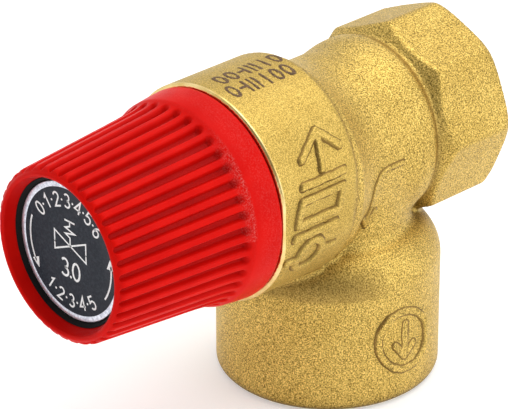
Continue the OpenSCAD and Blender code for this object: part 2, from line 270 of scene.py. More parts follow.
def mixed(nodes, links, factor, a, b, blend="MIX"):
    """Mixes two colours. Each is a socket or a colour, and factor is a socket or a number."""
    node = nodes.new("ShaderNodeMix")
    node.data_type = "RGBA"
    node.blend_type = blend
    for place, value in ((0, factor), (6, a), (7, b)):
        if isinstance(value, bpy.types.NodeSocket):
            links.new(value, node.inputs[place])
        else:
            node.inputs[place].default_value = value if place == 0 else (*value, 1)
    return node.outputs[2]


def bump(nodes, links, bsdf, height, depth_mm, strength=1.0, under=None):
    node = nodes.new("ShaderNodeBump")
    node.inputs["Distance"].default_value = depth_mm * MM
    node.inputs["Strength"].default_value = strength
    links.new(height, node.inputs["Height"])
    if under is not None:
        links.new(under, node.inputs["Normal"])
    links.new(node.outputs["Normal"], bsdf.inputs["Normal"])
    return node.outputs["Normal"]


CREASE_SHADE_REACH = 5.0


def crease_shade(nodes, reach_mm, samples=6):
    """Ambient occlusion, white in the open and dark in creases narrower than reach_mm, used to
    paint shade into a colour.
    """
    node = nodes.new("ShaderNodeAmbientOcclusion")
    node.samples = samples
    node.inputs["Distance"].default_value = reach_mm * MM
    return node.outputs["AO"]


def cast_brass(name="cast_brass", size=1.0, contrast=1.0, shade=1.0):
    """Sandblasted forging: bright and dark grain over slow colour patches, darkened in its creases
    by painted shade and grime, and mixed towards brown by a point attribute of painted shade
    with grime round the feet of the raised marks."""
    material, nodes, links, bsdf = new_material(name)
    grain = noise(nodes, links, 5.4 * size, 2.0, 0.6)
    patches = noise(nodes, links, 0.12, 2.0)
    pits = noise(nodes, links, 2.1 * size, 2.0, 0.5)
    middle = np.array((0.58, 0.402, 0.095)) * shade
    dark, bright = 1 - 0.72 * contrast, 1 + 0.62 * contrast
    tone = ramp(nodes, links, grain.outputs["Fac"],
                [(0.34, tuple(middle * dark)), (0.5, tuple(middle)),
                 (0.66, tuple(middle * bright + 0.06 * contrast))])
    warm = ramp(nodes, links, patches.outputs["Fac"],
                [(0.35, (0.92, 0.90, 0.84)), (0.65, (1.0, 1.0, 1.0))])
    even = mixed(nodes, links, 1.0, tone, warm, "MULTIPLY")
    # Painted shade with some grime: the colour is darkened in creases and hollows, from ambient
    # occlusion.
    crease_shade_and_grime = ramp(nodes, links, crease_shade(nodes, CREASE_SHADE_REACH),
                  [(0.20, (0.38, 0.36, 0.34)), (0.80, 1.0)])
    darkened_in_creases = mixed(nodes, links, 1.0, even, crease_shade_and_grime, "MULTIPLY")
    # Brown painted shade, mixed in by a point attribute: shade behind and under the housing and in
    # the octagon groove, shade and grime round the feet of the raised marks.
    grime_and_shade = nodes.new("ShaderNodeAttribute")
    grime_and_shade.attribute_name = "grime_and_shade"
    links.new(mixed(nodes, links, grime_and_shade.outputs["Fac"], darkened_in_creases, (0.23, 0.14, 0.038)),
              bsdf.inputs["Base Color"])
    links.new(ramp(nodes, links, pits.outputs["Fac"], [(0.3, 0.58), (0.7, 0.42)]),
              bsdf.inputs["Roughness"])
    fine = bump(nodes, links, bsdf, grain.outputs["Fac"], 0.06 * contrast, 0.8)
    bump(nodes, links, bsdf, pits.outputs["Fac"], 0.06 * contrast, 0.6, under=fine)
    bsdf.inputs["Metallic"].default_value = 0.92
    return material


def turned_brass():
    """Machined brass: concentric tool marks and a little staining."""
    material, nodes, links, bsdf = new_material("turned_brass")
    lines = noise(nodes, links, 3.0, 2.0, 0.5, stretch=(0.05, 3.0, 0.05))
    stain = noise(nodes, links, 0.35, 3.0)
    links.new(ramp(nodes, links, stain.outputs["Fac"],
                   [(0.3, (0.72, 0.50, 0.16)), (0.7, (0.92, 0.72, 0.33))]),
              bsdf.inputs["Base Color"])
    links.new(ramp(nodes, links, lines.outputs["Fac"], [(0.3, 0.34), (0.7, 0.2)]),
              bsdf.inputs["Roughness"])
    bump(nodes, links, bsdf, lines.outputs["Fac"], 0.02, 0.5)
    bsdf.inputs["Metallic"].default_value = 1.0
    return material


def turned_steel(name, light, dark):
    """Steel with fine drawn or turned lines."""
    material, nodes, links, bsdf = new_material(name)
    lines = noise(nodes, links, 4.0, 2.0, 0.5, stretch=(1.0, 0.2, 1.0))
    links.new(ramp(nodes, links, lines.outputs["Fac"], [(0.3, dark), (0.7, light)]),
              bsdf.inputs["Base Color"])
    links.new(ramp(nodes, links, lines.outputs["Fac"], [(0.3, 0.42), (0.7, 0.26)]),
              bsdf.inputs["Roughness"])
    bump(nodes, links, bsdf, lines.outputs["Fac"], 0.01, 0.5)
    bsdf.inputs["Metallic"].default_value = 1.0
    return material


def rubber():
    material, nodes, links, bsdf = new_material("rubber")
    dust = noise(nodes, links, 1.4, 3.0)
    links.new(ramp(nodes, links, dust.outputs["Fac"], [(0.35, 0.012), (0.75, 0.035)]),
              bsdf.inputs["Base Color"])
    links.new(ramp(nodes, links, dust.outputs["Fac"], [(0.3, 0.6), (0.7, 0.75)]),
              bsdf.inputs["Roughness"])
    bump(nodes, links, bsdf, dust.outputs["Fac"], 0.02, 0.4)
    return material


def red_plastic():
    """Moulded satin red, darkened in its grooves by dust and painted shade, with pale scuffs along
    the collar.
    A point attribute holds the scuffs in red, and in green the groove depth that sets the dust and
    painted shade."""
    material, nodes, links, bsdf = new_material("red_plastic")
    skin = noise(nodes, links, 3.2, 3.0, 0.6)
    slow = noise(nodes, links, 0.22, 2.0)
    red = ramp(nodes, links, slow.outputs["Fac"],
               [(0.3, (0.62, 0.0035, 0.002)), (0.7, (0.70, 0.006, 0.003))])
    speck = noise(nodes, links, 4.5, 4.0, 0.75)
    scuffs = ramp(nodes, links, speck.outputs["Fac"], [(0.46, 0.0), (0.72, 1.0)])
    # Groove dust and painted shade: dark speckled red, mixed in by groove depth.
    groove_dust_and_shade = ramp(nodes, links, speck.outputs["Fac"],
                 [(0.40, (0.26, 0.002, 0.002)), (0.70, (0.40, 0.012, 0.010))])
    zone = nodes.new("ShaderNodeAttribute")
    zone.attribute_name = "wear_dust_and_shade"
    parts = nodes.new("ShaderNodeSeparateColor")
    links.new(zone.outputs["Color"], parts.inputs["Color"])
    dust_and_shade_in_grooves = mixed(nodes, links, parts.outputs["Green"], red, groove_dust_and_shade)
    amount = mixed(nodes, links, 1.0, scuffs, parts.outputs["Red"], "MULTIPLY")
    links.new(mixed(nodes, links, amount, dust_and_shade_in_grooves, (0.85, 0.36, 0.33)), bsdf.inputs["Base Color"])
    links.new(ramp(nodes, links, skin.outputs["Fac"], [(0.3, 0.30), (0.7, 0.42)]),
              bsdf.inputs["Roughness"])
    bump(nodes, links, bsdf, skin.outputs["Fac"], 0.02, 0.55)
    bsdf.inputs["Specular IOR Level"].default_value = 0.04
    return material


def black_plastic():
    material, nodes, links, bsdf = new_material("black_plastic")
    skin = noise(nodes, links, 2.2, 3.0)
    links.new(ramp(nodes, links, skin.outputs["Fac"], [(0.3, 0.004), (0.7, 0.009)]),
              bsdf.inputs["Base Color"])
    links.new(ramp(nodes, links, skin.outputs["Fac"], [(0.3, 0.5), (0.7, 0.62)]),
              bsdf.inputs["Roughness"])
    bump(nodes, links, bsdf, skin.outputs["Fac"], 0.02, 0.4)
    bsdf.inputs["Specular IOR Level"].default_value = 0.1
    return material


def label_print():
    """Dark slate print on the label, with faint dust."""
    material, nodes, links, bsdf = new_material("label_print")
    dust = noise(nodes, links, 2.4, 4.0, 0.7)
    links.new(ramp(nodes, links, dust.outputs["Fac"],
                   [(0.42, (0.014, 0.018, 0.028)), (0.74, (0.040, 0.046, 0.06))]),
              bsdf.inputs["Base Color"])
    links.new(ramp(nodes, links, dust.outputs["Fac"], [(0.3, 0.38), (0.7, 0.5)]),
              bsdf.inputs["Roughness"])
    bump(nodes, links, bsdf, dust.outputs["Fac"], 0.01, 0.4)
    bsdf.inputs["Specular IOR Level"].default_value = 0.12
    return material


def bare_aluminium():
    material, nodes, links, bsdf = new_material("bare_aluminium")
    lines = noise(nodes, links, 2.5, 3.0, 0.6)
    links.new(ramp(nodes, links, lines.outputs["Fac"],
                   [(0.35, (0.50, 0.52, 0.60)), (0.65, (0.82, 0.84, 0.92))]),
              bsdf.inputs["Base Color"])
    links.new(ramp(nodes, links, lines.outputs["Fac"], [(0.3, 0.45), (0.7, 0.28)]),
              bsdf.inputs["Roughness"])
    bump(nodes, links, bsdf, lines.outputs["Fac"], 0.02, 0.5)
    bsdf.inputs["Metallic"].default_value = 0.9
    return material


def white_print():
    material, nodes, links, bsdf = new_material("white_print")
    wear_dust_and_shade = noise(nodes, links, 3.0, 3.0)
    links.new(ramp(nodes, links, wear_dust_and_shade.outputs["Fac"], [(0.3, 0.84), (0.55, 0.95)]),
              bsdf.inputs["Base Color"])
    links.new(ramp(nodes, links, wear_dust_and_shade.outputs["Fac"], [(0.3, 0.55), (0.7, 0.45)]),
              bsdf.inputs["Roughness"])
    return material


def peened_brown():
    material, nodes, links, bsdf = new_material("peened_brown")
    soot = noise(nodes, links, 3.0, 3.0)
    links.new(ramp(nodes, links, soot.outputs["Fac"],
                   [(0.3, (0.065, 0.030, 0.011)), (0.7, (0.20, 0.11, 0.04))]),
              bsdf.inputs["Base Color"])
    links.new(ramp(nodes, links, soot.outputs["Fac"], [(0.3, 0.7), (0.7, 0.5)]),
              bsdf.inputs["Roughness"])
    bsdf.inputs["Metallic"].default_value = 0.3
    return material


CAST_BRASS = cast_brass()
CAST_BRASS_SMOOTH = cast_brass("cast_brass_smooth", 1.1, 0.65, 0.96)
TURNED_BRASS = turned_brass()
STEEL = turned_steel("turned_steel", (0.72, 0.72, 0.70), (0.50, 0.50, 0.49))
SPRING_STEEL = turned_steel("spring_steel", (0.46, 0.46, 0.47), (0.28, 0.28, 0.29))
RUBBER = rubber()
RED_PLASTIC = red_plastic()
BLACK_PLASTIC = black_plastic()
LABEL_PRINT = label_print()
BARE_ALUMINIUM = bare_aluminium()
WHITE_PRINT = white_print()
PEENED_BROWN = peened_brown()


# ---------------------------------------------------------------- brass body

# Main radii and heights, all in mm
NECK_R = 12.48
RIDGE_R = 13.15
GROOVE_R = 12.55
OCT_FLAT = 13.5
OCT_EDGE = 1.4
FRONT_BEVEL = ((12.6, -8.9), (14.61, -10.9))
FRONT_BEVEL_TILT = -0.6
REAR_BEVEL = ((13.8, -22.0), (14.61, -21.2))
HOUSING_REAR = 9.7
HOUSING_REAR_TILT = -1.05
HOUSING_REAR_ROUND = 0.6
MARKED_SIDE_X = HOUSING_R - 0.46
NECK_REACH = 12
SHOULDER_R = 15.05
BOSS_TOP = 23.5
BOSS_ROUND = 6.0
BOSS_CHAMFER = 1.35
THROAT_R = 11.5
SKIN = 0.02

# Inside: bonnet thread, chamber, seat and the two pipe threads
BONNET_BORE_R = 13.6
LEDGE_S = 9.5
CHAMBER_R = 10.6
MOAT_S = -3.0
NOZZLE_R = 7.4
SEAT_BORE_R = 6.0
SEAT_S = 1.0
THREAD_PITCH = 1.814
THREAD_DEPTH = 1.16
INLET_CORE_R = 9.3155
INLET_THREAD_END = -8.5
OUTLET_CORE_R = 12.0585
OUTLET_THREAD_END = 14.5
PASSAGE_R = 7.0
PASSAGE_Y = -2.5
PASSAGE_TOP = AXIS_H - NOZZLE_R - 0.4


def half_plane(r, s, line, side):
    """Distance in front of a cone through two (r, s) points; side is +1 or -1."""
    (r0, s0), (r1, s1) = line
    length = math.hypot(r1 - r0, s1 - s0)
    return side * ((r - r0) * (s1 - s0) - (s - s0) * (r1 - r0)) / length


def neck_radius(s):
    flare = 0.0386 * np.maximum(s - 0.8, 0) ** 2.1
    ridge = (RIDGE_R - NECK_R) * smoothstep(1.6, 6.5, -s)
    groove = (RIDGE_R - GROOVE_R) * smoothstep(7.5, 9.2, -s)
    return NECK_R + np.minimum(flare, SHOULDER_R - NECK_R) + ridge - groove


def octagon(r, angle):
    """Distance from an eight-sided bar with rounded corners."""
    apothem = OCT_FLAT - OCT_EDGE
    half_side = apothem * math.tan(math.pi / 8)
    folded = np.mod(angle, math.pi / 4) - math.pi / 8
    x, y = r * np.cos(folded) - apothem, np.abs(r * np.sin(folded)) - half_side
    return np.where(x > 0, np.hypot(x, np.maximum(y, 0)), x) - OCT_EDGE


def thread_radius(core_r, turns):
    """Radius of a rounded thread: turns counts pitches along the helix."""
    wave = 0.5 - 0.5 * np.cos(2 * np.pi * turns)
    return core_r + THREAD_DEPTH * smoothstep(0.08, 0.92, wave)


def body_outside(x, y, z):
    s, r = -y, np.hypot(x, z - AXIS_H)
    angle = np.arctan2(z - AXIS_H, x)
    housing = round_both(r - (HOUSING_R - SKIN), x - MARKED_SIDE_X, 0.3)
    housing = round_both(housing, s - HOUSING_FRONT, 0.25)
    rear = HOUSING_REAR + HOUSING_REAR_TILT * np.sin(angle)
    housing = round_both(housing, rear - s, HOUSING_REAR_ROUND)
    neck = np.maximum(r - neck_radius(s), np.abs(s) - NECK_REACH)
    inlet = round_both(octagon(r, angle), half_plane(r, s, REAR_BEVEL, 1), 0.4)
    bevel = half_plane(r, s - FRONT_BEVEL_TILT * np.sin(angle), FRONT_BEVEL, -1)
    inlet = round_both(inlet, bevel, 0.22)
    inlet = round_both(inlet, -s - INLET_REACH, 0.25)
    upper = round_either(neck, housing, 0.15)
    upper = round_either(upper, inlet, 0.2)
    boss_r = np.hypot(x, y)
    boss = round_both(boss_r - (BOSS_R - SKIN), z - BOSS_TOP, BOSS_ROUND)
    boss = round_both(boss, -z, BOSS_CHAMFER)
    throat = np.maximum(boss_r - THROAT_R, np.maximum(z - AXIS_H, 10 - z))
    lower = round_either(boss, throat, 1.0)
    return round_either(upper, lower, 1.1)


def body_inside(x, y, z):
    """The hollows: bonnet thread, chamber with its seat, inlet, passage and outlet."""
    s, r = -y, np.hypot(x, z - AXIS_H)
    angle = np.arctan2(z - AXIS_H, x)
    bonnet_bore = np.maximum(r - BONNET_BORE_R, LEDGE_S - s)
    bonnet_bore = np.minimum(bonnet_bore, (r - BONNET_BORE_R + HOUSING_FRONT - s - 0.7) / 1.42)
    chamber = np.maximum(r - CHAMBER_R, np.maximum(MOAT_S - s, s - LEDGE_S - 1))
    nozzle = -round_both(r - NOZZLE_R, s - SEAT_S, 0.4)
    chamber = np.maximum(chamber, np.minimum(NOZZLE_R - r, nozzle))
    seat_bore = np.maximum(r - SEAT_BORE_R, np.maximum(-7 - s, s - SEAT_S - 1))
    cone = half_plane(r, s, ((INLET_CORE_R, INLET_THREAD_END), (SEAT_BORE_R, -5.2)), 1)
    cone = np.maximum(cone, np.maximum(s + 5.2, -s - 12))
    fade = smoothstep(INLET_THREAD_END, INLET_THREAD_END - 1.5, s)
    turns = s / THREAD_PITCH - angle / (2 * np.pi)
    inlet_r = INLET_CORE_R + (thread_radius(INLET_CORE_R, turns) - INLET_CORE_R) * fade
    inlet = np.maximum(r - inlet_r, s - INLET_THREAD_END)
    inlet = np.minimum(inlet, (r - INLET_CORE_R - 1.4 + s + INLET_REACH) / 1.42)
    out_r = np.hypot(x, y)
    turns = z / THREAD_PITCH - np.arctan2(y, x) / (2 * np.pi)
    fade = smoothstep(OUTLET_THREAD_END, OUTLET_THREAD_END - 1.5, z)
    outlet_r = OUTLET_CORE_R + (thread_radius(OUTLET_CORE_R, turns) - OUTLET_CORE_R) * fade
    outlet = np.maximum(out_r - outlet_r, z - OUTLET_THREAD_END)
    outlet = np.minimum(outlet, (out_r - OUTLET_CORE_R - 1.4 + z) / 1.42)
    passage = np.maximum(np.hypot(x, y - PASSAGE_Y) - PASSAGE_R, z - PASSAGE_TOP)
    return np.minimum.reduce([bonnet_bore, chamber, seat_bore, cone, inlet, outlet, passage])


def body_field(x, y, z):
    return round_both(body_outside(x, y, z), -body_inside(x, y, z), 0.12)


def housing_rear(x, z):
    """Where the housing ends towards the inlet, in s. Its rear edge leans a little."""
    return HOUSING_REAR + HOUSING_REAR_TILT * np.sin(np.arctan2(z - AXIS_H, x))


def body_painted_shade(points):
    """Painted shade, from 0 to 1: in the crease behind the housing, on the boss under it, and
    in the groove before the octagon."""
    x, z, s = points[:, 0], points[:, 2], -points[:, 1]
    r = np.hypot(x, z - AXIS_H)
    # Painted shade in the crease at the housing's rear edge, on the boss under the housing and in
    # the octagon groove.
    crease = 0.5 * np.exp(-((s - housing_rear(x, z) + 0.1) / 0.35) ** 2)
    crease *= smoothstep(14.4, 14.9, r) * (1 - smoothstep(15.6, 15.9, r))
    under = smoothstep(17.2, 17.8, z) * (1 - smoothstep(19.5, 23.0, z))
    under *= 0.5 * smoothstep(2, 8, s) * smoothstep(15.5, 16.5, r)
    groove = 0.55 * np.exp(-((s + 8.7) / 0.55) ** 2) * (1 - smoothstep(13.2, 13.6, r))
    return crease + under + groove


# Stores the point attribute of painted shade, and grime at the feet of the raised marks, for the
# brass material.
def set_grime_and_shade(obj, values):
    shade = obj.data.attributes.new("grime_and_shade", "FLOAT", "POINT")
    shade.data.foreach_set("value", values.astype(np.float32))


def make_body():
    pitch = 0.38
    margin = 1.5 * pitch
    points, quads = surface_net(body_field, BODY_LOW - margin, BODY_HIGH + margin, pitch)
    points = np.clip(points, BODY_LOW, BODY_HIGH)
    centres = points[quads].mean(1)
    s = -centres[:, 1]
    machined = body_inside(*centres.T) < 0.12
    machined |= (s > HOUSING_FRONT - 0.35) | (s < -INLET_REACH + 0.1) | (centres[:, 2] < 0.1)
    r = np.hypot(centres[:, 0], centres[:, 2] - AXIS_H)
    rear = housing_rear(centres[:, 0], centres[:, 2])
    rubbed = (s > rear + 0.1) & (r > MARKED_SIDE_X - 0.1) & (r < HOUSING_R + 0.25)
    obj = new_object("valve_body_forging", points, quads,
                     [CAST_BRASS, TURNED_BRASS, CAST_BRASS_SMOOTH],
                     np.where(machined, 1, np.where(rubbed, 2, 0)))
    set_grime_and_shade(obj, body_painted_shade(points))
    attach(obj, "valve_body")
    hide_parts("body")
    return obj


make_body()


# ---------------------------------------------------------------- raised and peened marks

RELIEF = 0.42
RELIEF_EDGE = 0.10
RELIEF_PITCH = 0.12
RELIEF_ROOT = 0.25
HALO = 0.14
STROKE = 1.0


def stroke(u, v, points, width=STROKE):
    """Distance from a line through points on a flat map."""
    nearest = np.full(u.shape, 1e3)
    for (u0, v0), (u1, v1) in zip(points, points[1:]):
        du, dv = u1 - u0, v1 - v0
        t = np.clip(((u - u0) * du + (v - v0) * dv) / (du * du + dv * dv), 0, 1)
        nearest = np.minimum(nearest, np.hypot(u - u0 - t * du, v - v0 - t * dv))
    return nearest - width / 2


def bow(centre, rx, ry, start, end, steps=10):
    """Points along an elliptic arc."""
    return [(centre[0] + rx * math.cos(a), centre[1] + ry * math.sin(a))
            for a in np.radians(np.linspace(start, end, steps))]


def circle_line(u, v, centre, radius, width=STROKE):
    return np.abs(np.hypot(u - centre[0], v - centre[1]) - radius) - width / 2


def relief(name, distance, u_range, v_range, place, material, height=RELIEF, halo=HALO):
    """Raised marks on a curved skin. distance(u, v) is the flat map, and place(u, v, h) puts a
    point of it h above the skin. Each mark is closed underneath, inside the wall."""
    u = np.arange(u_range[0], u_range[1], RELIEF_PITCH)
    v = np.arange(v_range[0], v_range[1], RELIEF_PITCH)
    uu, vv = np.meshgrid(u, v, indexing="ij")
    gap = distance(uu, vv) + 0.05 * np.sin(2.3 * uu + 1) * np.sin(1.9 * vv)
    top = height * (1 - smoothstep(-RELIEF_EDGE, RELIEF_EDGE, gap)) + 0.02
    # Painted shade and grime: a darker ring round the foot of each raised mark, none where halo is
    # 0.
    grime_and_shade = smoothstep(-RELIEF_EDGE, RELIEF_EDGE, gap) * (halo > 0)
    used = gap < max(halo, 0.02)
    cell = used[:-1, :-1] | used[1:, :-1] | used[:-1, 1:] | used[1:, 1:]
    quads = grid_faces(len(u), len(v), False, False)[cell.ravel()]
    under = quads[:, ::-1] + uu.size
    edges = np.concatenate([quads[:, [i, (i + 1) % 4]] for i in range(4)])
    known = set(map(tuple, edges.tolist()))
    rim = np.array([e for e in known if (e[1], e[0]) not in known])
    rim = rim[np.lexsort(rim.T)]
    walls = np.stack([rim[:, 1], rim[:, 0], rim[:, 0] + uu.size, rim[:, 1] + uu.size], -1)
    faces = np.concatenate([quads, under, walls])
    points = np.concatenate([place(uu, vv, top).reshape(-1, 3),
                             place(uu, vv, 0 * uu - RELIEF_ROOT).reshape(-1, 3)])
    points = np.clip(points, BODY_LOW, BODY_HIGH)
    kept, faces = np.unique(faces, return_inverse=True)
    obj = new_object(name, points[kept], faces.reshape(-1, 4), [material])
    set_grime_and_shade(obj, np.tile(grime_and_shade.ravel(), 2)[kept])
    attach(obj, "valve_body")
    return obj


def on_skin(u, v, h, ray):
    """Follows the forging's real skin: ray(r, u, v) is a point at radius r over the flat map."""
    r = np.full(u.shape, 17.5)
    for _ in range(30):
        point = ray(r, u, v)
        r = r - 0.8 * body_outside(point[..., 0], point[..., 1], point[..., 2])
    return ray(r + h, u, v)


def on_housing(u, v, h):
    return on_skin(u, v, h, lambda r, u, v: spindle_point(r, u / HOUSING_R, v))


def on_neck(u, v, h):
    return on_skin(u, v, h, lambda r, u, v: spindle_point(r, u / NECK_R, v))


def on_boss(u, v, h):
    return on_skin(u, v, h, lambda r, u, v: np.stack(
        [r * np.cos(u / BOSS_R), r * np.sin(u / BOSS_R), v], -1))


def housing_marks(u, v):
    """Raised forging marks in a slanted row: a chevron arrow, bars, a frame and a ring."""
    v = v - 16.6 + 0.25 * (u - 2)
    marks = [
        stroke(u, v, [(8.4, 3.6), (11.4, 0.2), (8.4, -3.4)]),
        stroke(u, v, [(10.6, 0.2), (6.4, 0.2)]),
        stroke(u, v, [(5.0, -3.8), (5.0, 3.8)]),
        stroke(u, v, [(3.0, -3.8), (3.0, 3.8), (-0.2, 3.8), (-0.2, -3.8), (3.0, -3.8)]),
        stroke(u, v, [(-2.1, -3.8), (-2.1, 3.8)]),
        circle_line(u, v, (-5.6, 0), 2.2),
        stroke(u, v, [(-5.6, 3.0), (-5.6, 4.6)]),
        stroke(u, v, [(-5.6, -3.0), (-5.6, -4.6)]),
    ]
    return np.minimum.reduce(marks)


def flow_arrow(u, v):
    """Raised generic arrow that turns from the inlet down to the outlet, as the flow does."""
    line = [(0.4, -1.9)] + bow((-2.6, 0.9), 3.0, 3.0, 0, 90, 9) + [(-7.4, 3.9)]
    head = [(-5.8, 5.2), (-7.8, 3.9), (-5.8, 2.6)]
    return np.minimum(stroke(u, v, line, 0.6), stroke(u, v, head, 0.6))


def boss_marks(u, v):
    """Raised ring round an arrow that points down to the outlet."""
    u, v = u + 0.6, v - 9.4 + 0.18 * u
    marks = [
        circle_line(u, v, (0, 0), 4.6),
        stroke(u, v, [(0, 2.6), (0, -2.2)]),
        stroke(u, v, [(-1.7, -0.7), (0, -2.5), (1.7, -0.7)]),
    ]
    return np.minimum.reduce(marks)


def peened_marks(u, v):
    """Two rows of peened rings and bars along the housing, with no meaning."""
    nearest = np.full(u.shape, 1e3)
    for row in (0, 1):
        middle = 21.7 + 3.5 * row
        for i in range(6):
            s = 20.9 - 2.0 * i - 0.9 * row
            kind = (2 * i + 3 * row) % 5
            if kind in (0, 3):
                ring = [(middle + 1.25 * math.cos(k), s + 0.6 * math.sin(k))
                        for k in np.linspace(0, 2 * math.pi, 13)]
                lines = [ring]
            elif kind == 1:
                lines = [[(middle - 1.25, s), (middle + 1.25, s)]]
            elif kind == 2:
                lines = [[(middle - 1.25, s - 0.5), (middle + 1.25, s - 0.5)],
                         [(middle, s - 0.5), (middle, s + 0.6)]]
            else:
                lines = [[(middle - 1.25, s - 0.4), (middle + 1.25, s - 0.4)],
                         [(middle - 1.25, s + 0.5), (middle + 1.25, s + 0.5)]]
            for line in lines:
                nearest = np.minimum(nearest, stroke(u, v, line, 0.24))
    return nearest


def make_marks():
    relief("housing_marks", housing_marks, (-10, 13), (10, 23), on_housing, CAST_BRASS_SMOOTH)
    relief("flow_arrow", flow_arrow, (-9.5, 2), (-3.5, 7), on_neck, CAST_BRASS, 0.24)
    relief("boss_marks", boss_marks, (-6.5, 6), (3.5, 15.5), on_boss, CAST_BRASS)
    relief("peened_marks", peened_marks, (19.8, 27.2), (8.8, 22.6), on_housing, PEENED_BROWN,
           0.02, 0)


make_marks()


# ---------------------------------------------------------------- red cap

RIB_COUNT = 40
RIB_FIRST = math.radians(2)
GROOVE_DEPTH = 0.9
GROOVE_FRONT = CAP_FRONT - 0.35
GROOVE_REAR = 28.9
GROOVE_END = 0.35
LIP_R = 11.4
LIP_ROUND = 0.45
LIP = [(s, r) for r, s in arc((LIP_R, CAP_FRONT - LIP_ROUND), LIP_ROUND, 25, 180, 12)]


def cone_radius(s):
    """The ribbed cone, with a soft rise to the collar."""
    return 13.16 - 0.0815 * (s - 40) + 0.56 * math.exp((28.2 - s) / 1.1)


CAP_WALL = ([(CAP_REAR, 14.95), (23.8, 15.1), (24.1, 15.15), (26.0, 14.98), (28.05, 14.74)]
            + [(s, cone_radius(s)) for s in np.linspace(28.25, 47.5, 78)]
            + [(CAP_FRONT - 1.0, 12.42), (CAP_FRONT - 0.7, 12.34), (CAP_FRONT - 0.4, 12.12)] + LIP)
CAP_INSIDE = [(PLUG_TOP + 0.05, 10.5), (PLUG_TOP - 1.5, 10.5), (46.5, 10.52), (46.5, 9.6),
              (41.0, 9.6), (41.0, 10.8), (31.0, 11.6), (29.0, 12.9), (CAP_REAR, 13.6)]


def resampled(points, spacing):
    """A polyline (s, r) with extra points, so that no step is longer than spacing."""
    result = [points[0]]
    for a, b in zip(points, points[1:]):
        parts = max(1, math.ceil(math.dist(a, b) / spacing))
        result += [(a[0] + (b[0] - a[0]) * i / parts, a[1] + (b[1] - a[1]) * i / parts)
                   for i in range(1, parts + 1)]
    return np.array(result)


def groove_depth(angle, s):
    """Depth of the round-ended grooves between the ribs."""
    pitch = 2 * math.pi / RIB_COUNT
    across = np.abs(np.mod(angle - RIB_FIRST, pitch) / pitch - 0.5) * 2
    width = 0.62 - 0.05 * smoothstep(31, 47, s)
    front = np.maximum(s - GROOVE_FRONT + GROOVE_END, 0) / GROOVE_END
    rear = np.maximum(GROOVE_REAR + GROOVE_END - s, 0) / GROOVE_END
    reach = np.hypot(across / width, np.minimum(np.maximum(front, rear), 3))
    return GROOVE_DEPTH * (1 - smoothstep(0.50, 1.12, reach))


def make_cap():
    per_rib = 18
    steps = RIB_COUNT * per_rib
    outside = resampled(CAP_WALL, 0.28)
    inside = resampled(CAP_INSIDE, 1.5)
    outline = np.concatenate([outside, inside])
    angles = np.linspace(0, 2 * np.pi, steps, endpoint=False)[:, None]
    s, r = outline[None, :, 0], outline[None, :, 1] + 0 * angles
    ribbed = (np.arange(len(outline)) < len(outside)) * smoothstep(LIP_R, LIP_R + 0.35, r)
    depth = groove_depth(angles, s) * ribbed
    r = r - depth
    points = spindle_point(r, angles, s + 0 * angles).reshape(-1, 3)
    faces = grid_faces(steps, len(outline), True, True)[:, ::-1]
    obj = new_object("red_lift_cap", points, faces, [RED_PLASTIC])
    low_side = smoothstep(math.radians(50), math.radians(20), np.abs(angles - math.radians(20)))
    edge = np.exp(-((s - 28.25) / 0.22) ** 2) * (0.05 + 0.42 * low_side)
    collar = 0.10 * smoothstep(28, 26, s) * (s > 23)
    tips = 0.26 * np.exp(-((s - 28.9) / 0.5) ** 2) * low_side
    wear_dust_and_shade = np.zeros((*r.shape, 4))
    wear_dust_and_shade[..., 0] = np.clip((edge + collar + tips) * (ribbed > 0), 0, 1)
    # Green: dust and painted shade in the grooves, darker where the groove is deeper.
    wear_dust_and_shade[..., 1] = np.clip(depth / GROOVE_DEPTH, 0, 1) ** 1.5 * 0.52
    wear_dust_and_shade[..., 3] = 1
    attribute = obj.data.attributes.new("wear_dust_and_shade", "FLOAT_COLOR", "POINT")
    attribute.data.foreach_set("color", wear_dust_and_shade.ravel().astype(np.float32))
    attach(obj, "cap")
    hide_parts("lift_cap")
    return obj


def make_plug():
    """Black plug: a chamfered ring round the label on a thin web, with a snap-in skirt."""
    rim = PLUG_R - 0.03
    seat = LABEL_R + 0.03
    outline = [(0.4, LABEL_LOW), (seat, LABEL_LOW), (seat, LABEL_TOP - 0.25),
               (seat + 0.06, LABEL_TOP - 0.1),
               (rim - 0.12, PLUG_TOP - 0.06), (rim - 0.04, PLUG_TOP - 0.02), (rim, PLUG_TOP - 0.08),
               (rim, 46.55), (9.5, 46.5), (9.4, 46.0), (9.4, PLUG_LOW + 0.3), (9.2, PLUG_LOW),
               (8.85, PLUG_LOW), (8.75, PLUG_LOW + 0.3), (8.75, 46.3), (8.5, 46.5), (0.4, 46.5)]
    obj = lathe("black_cover_plug", outline, [BLACK_PLASTIC])
    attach(obj, "cap")
    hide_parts("cover_plug")
    return obj


# ---------------------------------------------------------------- label and its print

LABEL_FACE = LABEL_TOP - 0.09
SILVER_RIM = 9.0
PRINT_S = LABEL_FACE + 0.025
ARROW_R = 8.05


def make_label():
    """Aluminium disc: bare beaded rim, printed face."""
    outline = ([(0.02, LABEL_LOW + 0.02), (LABEL_R, LABEL_LOW + 0.02)]
               + arc((LABEL_R - 0.15, LABEL_TOP - 0.15), 0.15, 0, 90, 5)
               + [(SILVER_RIM + 0.2, LABEL_TOP - 0.02), (SILVER_RIM + 0.03, LABEL_FACE + 0.02),
                  (SILVER_RIM, LABEL_FACE), (6.0, LABEL_FACE), (3.0, LABEL_FACE),
                  (0.02, LABEL_FACE)])
    printed = [0] * (len(outline) - 5) + [1] * 4 + [0]
    obj = lathe("dial_label", outline, [BARE_ALUMINIUM, LABEL_PRINT], slots=printed)
    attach(obj, "cap")
    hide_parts("label_plate")
    return obj


